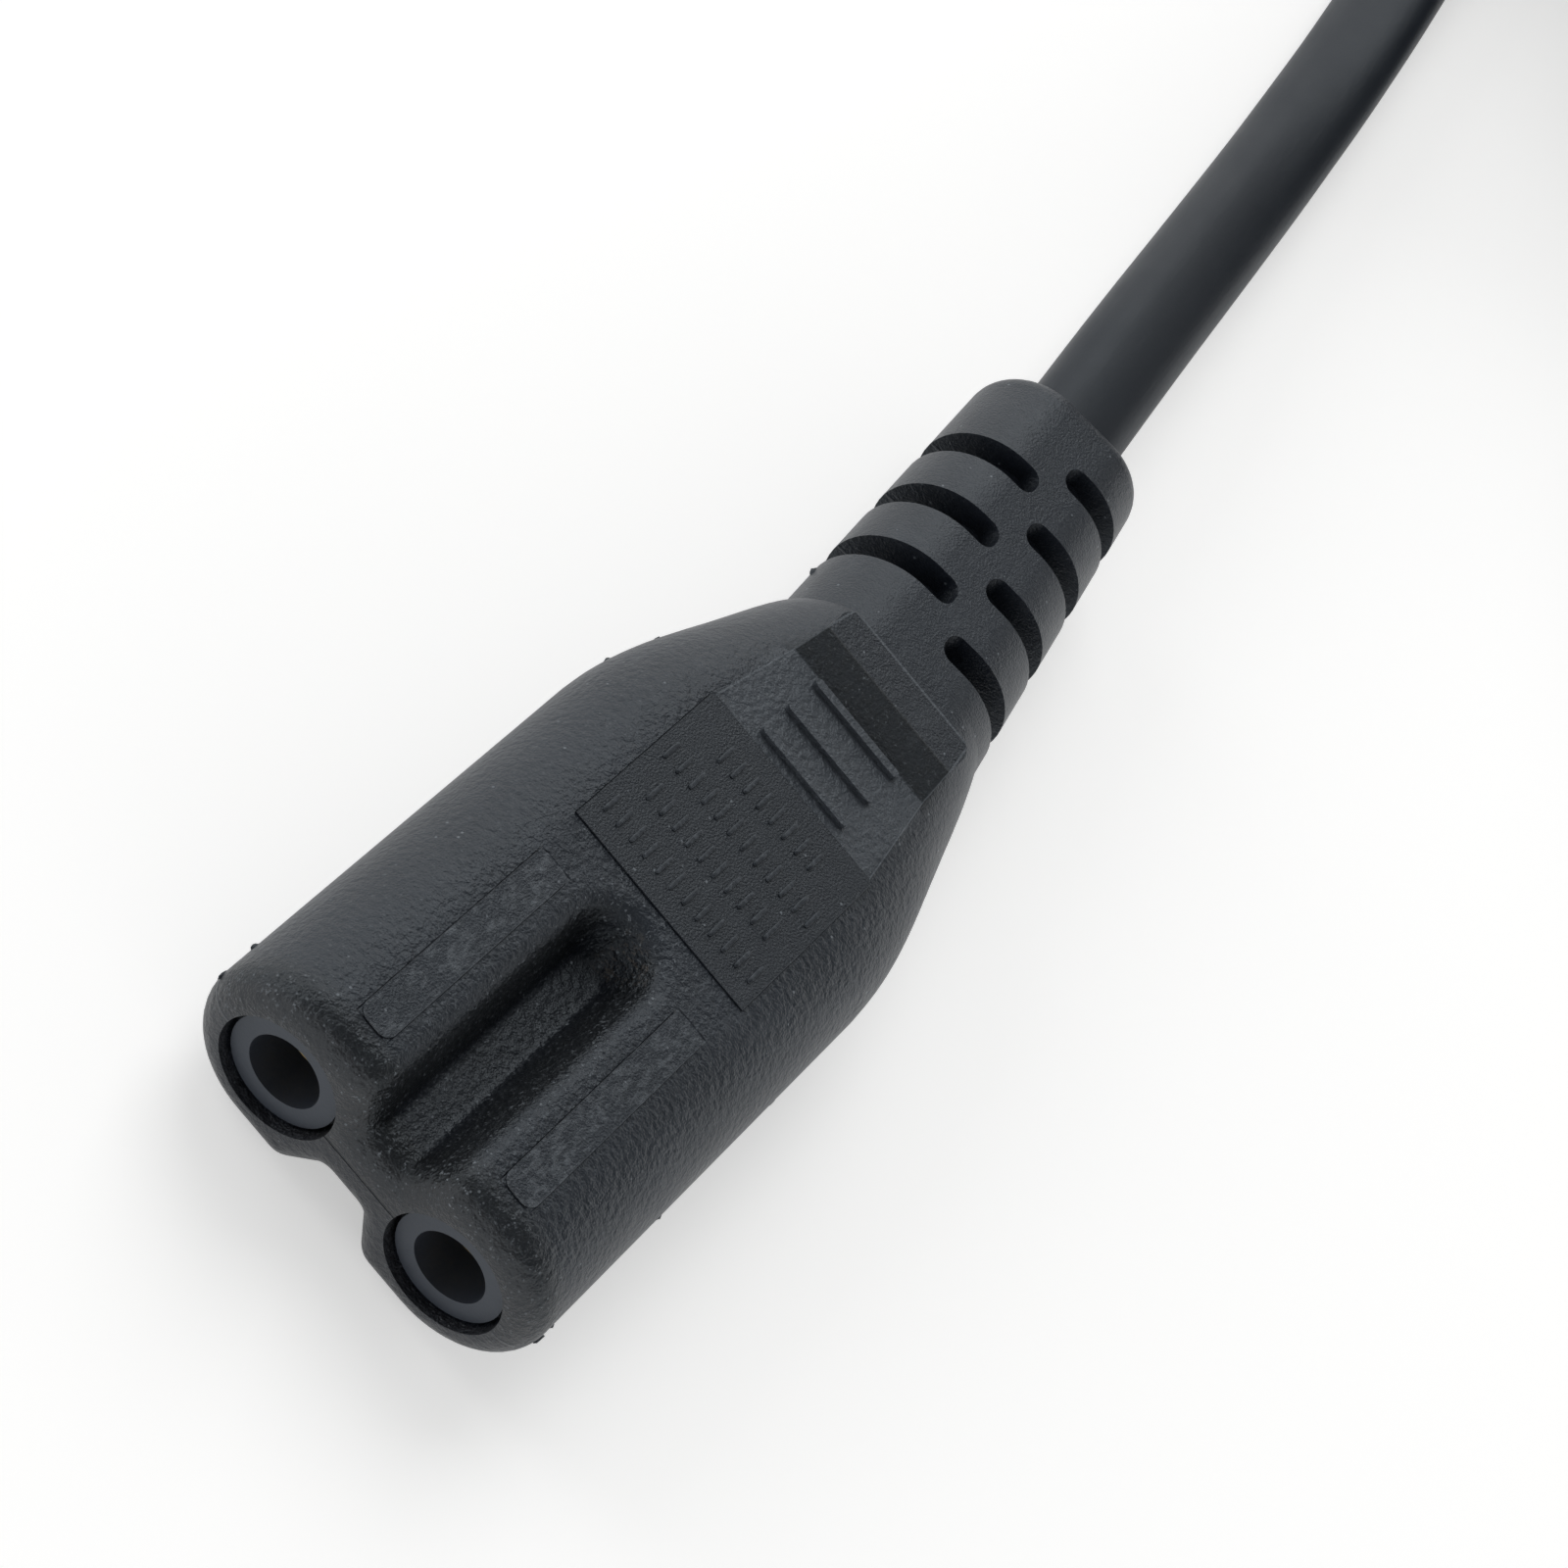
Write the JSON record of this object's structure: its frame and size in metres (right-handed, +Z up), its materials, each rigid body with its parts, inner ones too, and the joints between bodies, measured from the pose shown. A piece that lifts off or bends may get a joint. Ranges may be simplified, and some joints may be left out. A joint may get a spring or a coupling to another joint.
{
  "type": "power cord",
  "caption": "Flexible power lead with a figure-eight appliance connector, a ribbed strain relief, a flat cord put away in a tied hank and a flat plug.",
  "frame": {"origin": "on the floor under the middle of the connector's box, the cord, hank and plug left out", "axes": "+X across the connector, +Y from its mating face towards the cord, +Z up; the lead lies as it rests on a floor"},
  "size_m": [0.0389, 0.2153, 0.0275],
  "materials": {
    "connector_moulding": "fine moulded grain, dark blue-grey",
    "carrier": "smooth, grey",
    "contact_metal": "bare stamped metal",
    "core_brown": "smooth insulation",
    "core_blue": "smooth insulation",
    "copper": "bare strands",
    "cord_sheath": "satin flexible sheath",
    "tie_plastic": "smooth band",
    "plug_moulding": "fine moulded grain, dark blue-grey",
    "bridge_plastic": "smooth, grey",
    "pin_metal": "plated, with fine turning marks",
    "sleeve_plastic": "smooth"
  },
  "bodies": {
    "root": {"connector_housing": "connector_moulding", "contact_carrier": "carrier", "contact_left": "contact_metal", "contact_right": "contact_metal", "connector_core_left": "core_brown", "connector_core_right": "core_blue", "connector_wire_left": "copper", "connector_wire_right": "copper", "cord_run": "cord_sheath", "cord_hank": "cord_sheath", "cord_tail": "cord_sheath", "hank_tie": "tie_plastic", "plug_housing": "plug_moulding", "pin_bridge": "bridge_plastic", "pin_left": "pin_metal", "pin_right": "pin_metal", "pin_sleeve_left": "sleeve_plastic", "pin_sleeve_right": "sleeve_plastic", "plug_core_left": "core_brown", "plug_core_right": "core_blue", "plug_wire_left": "copper", "plug_wire_right": "copper"}
  },
  "joints": []
}
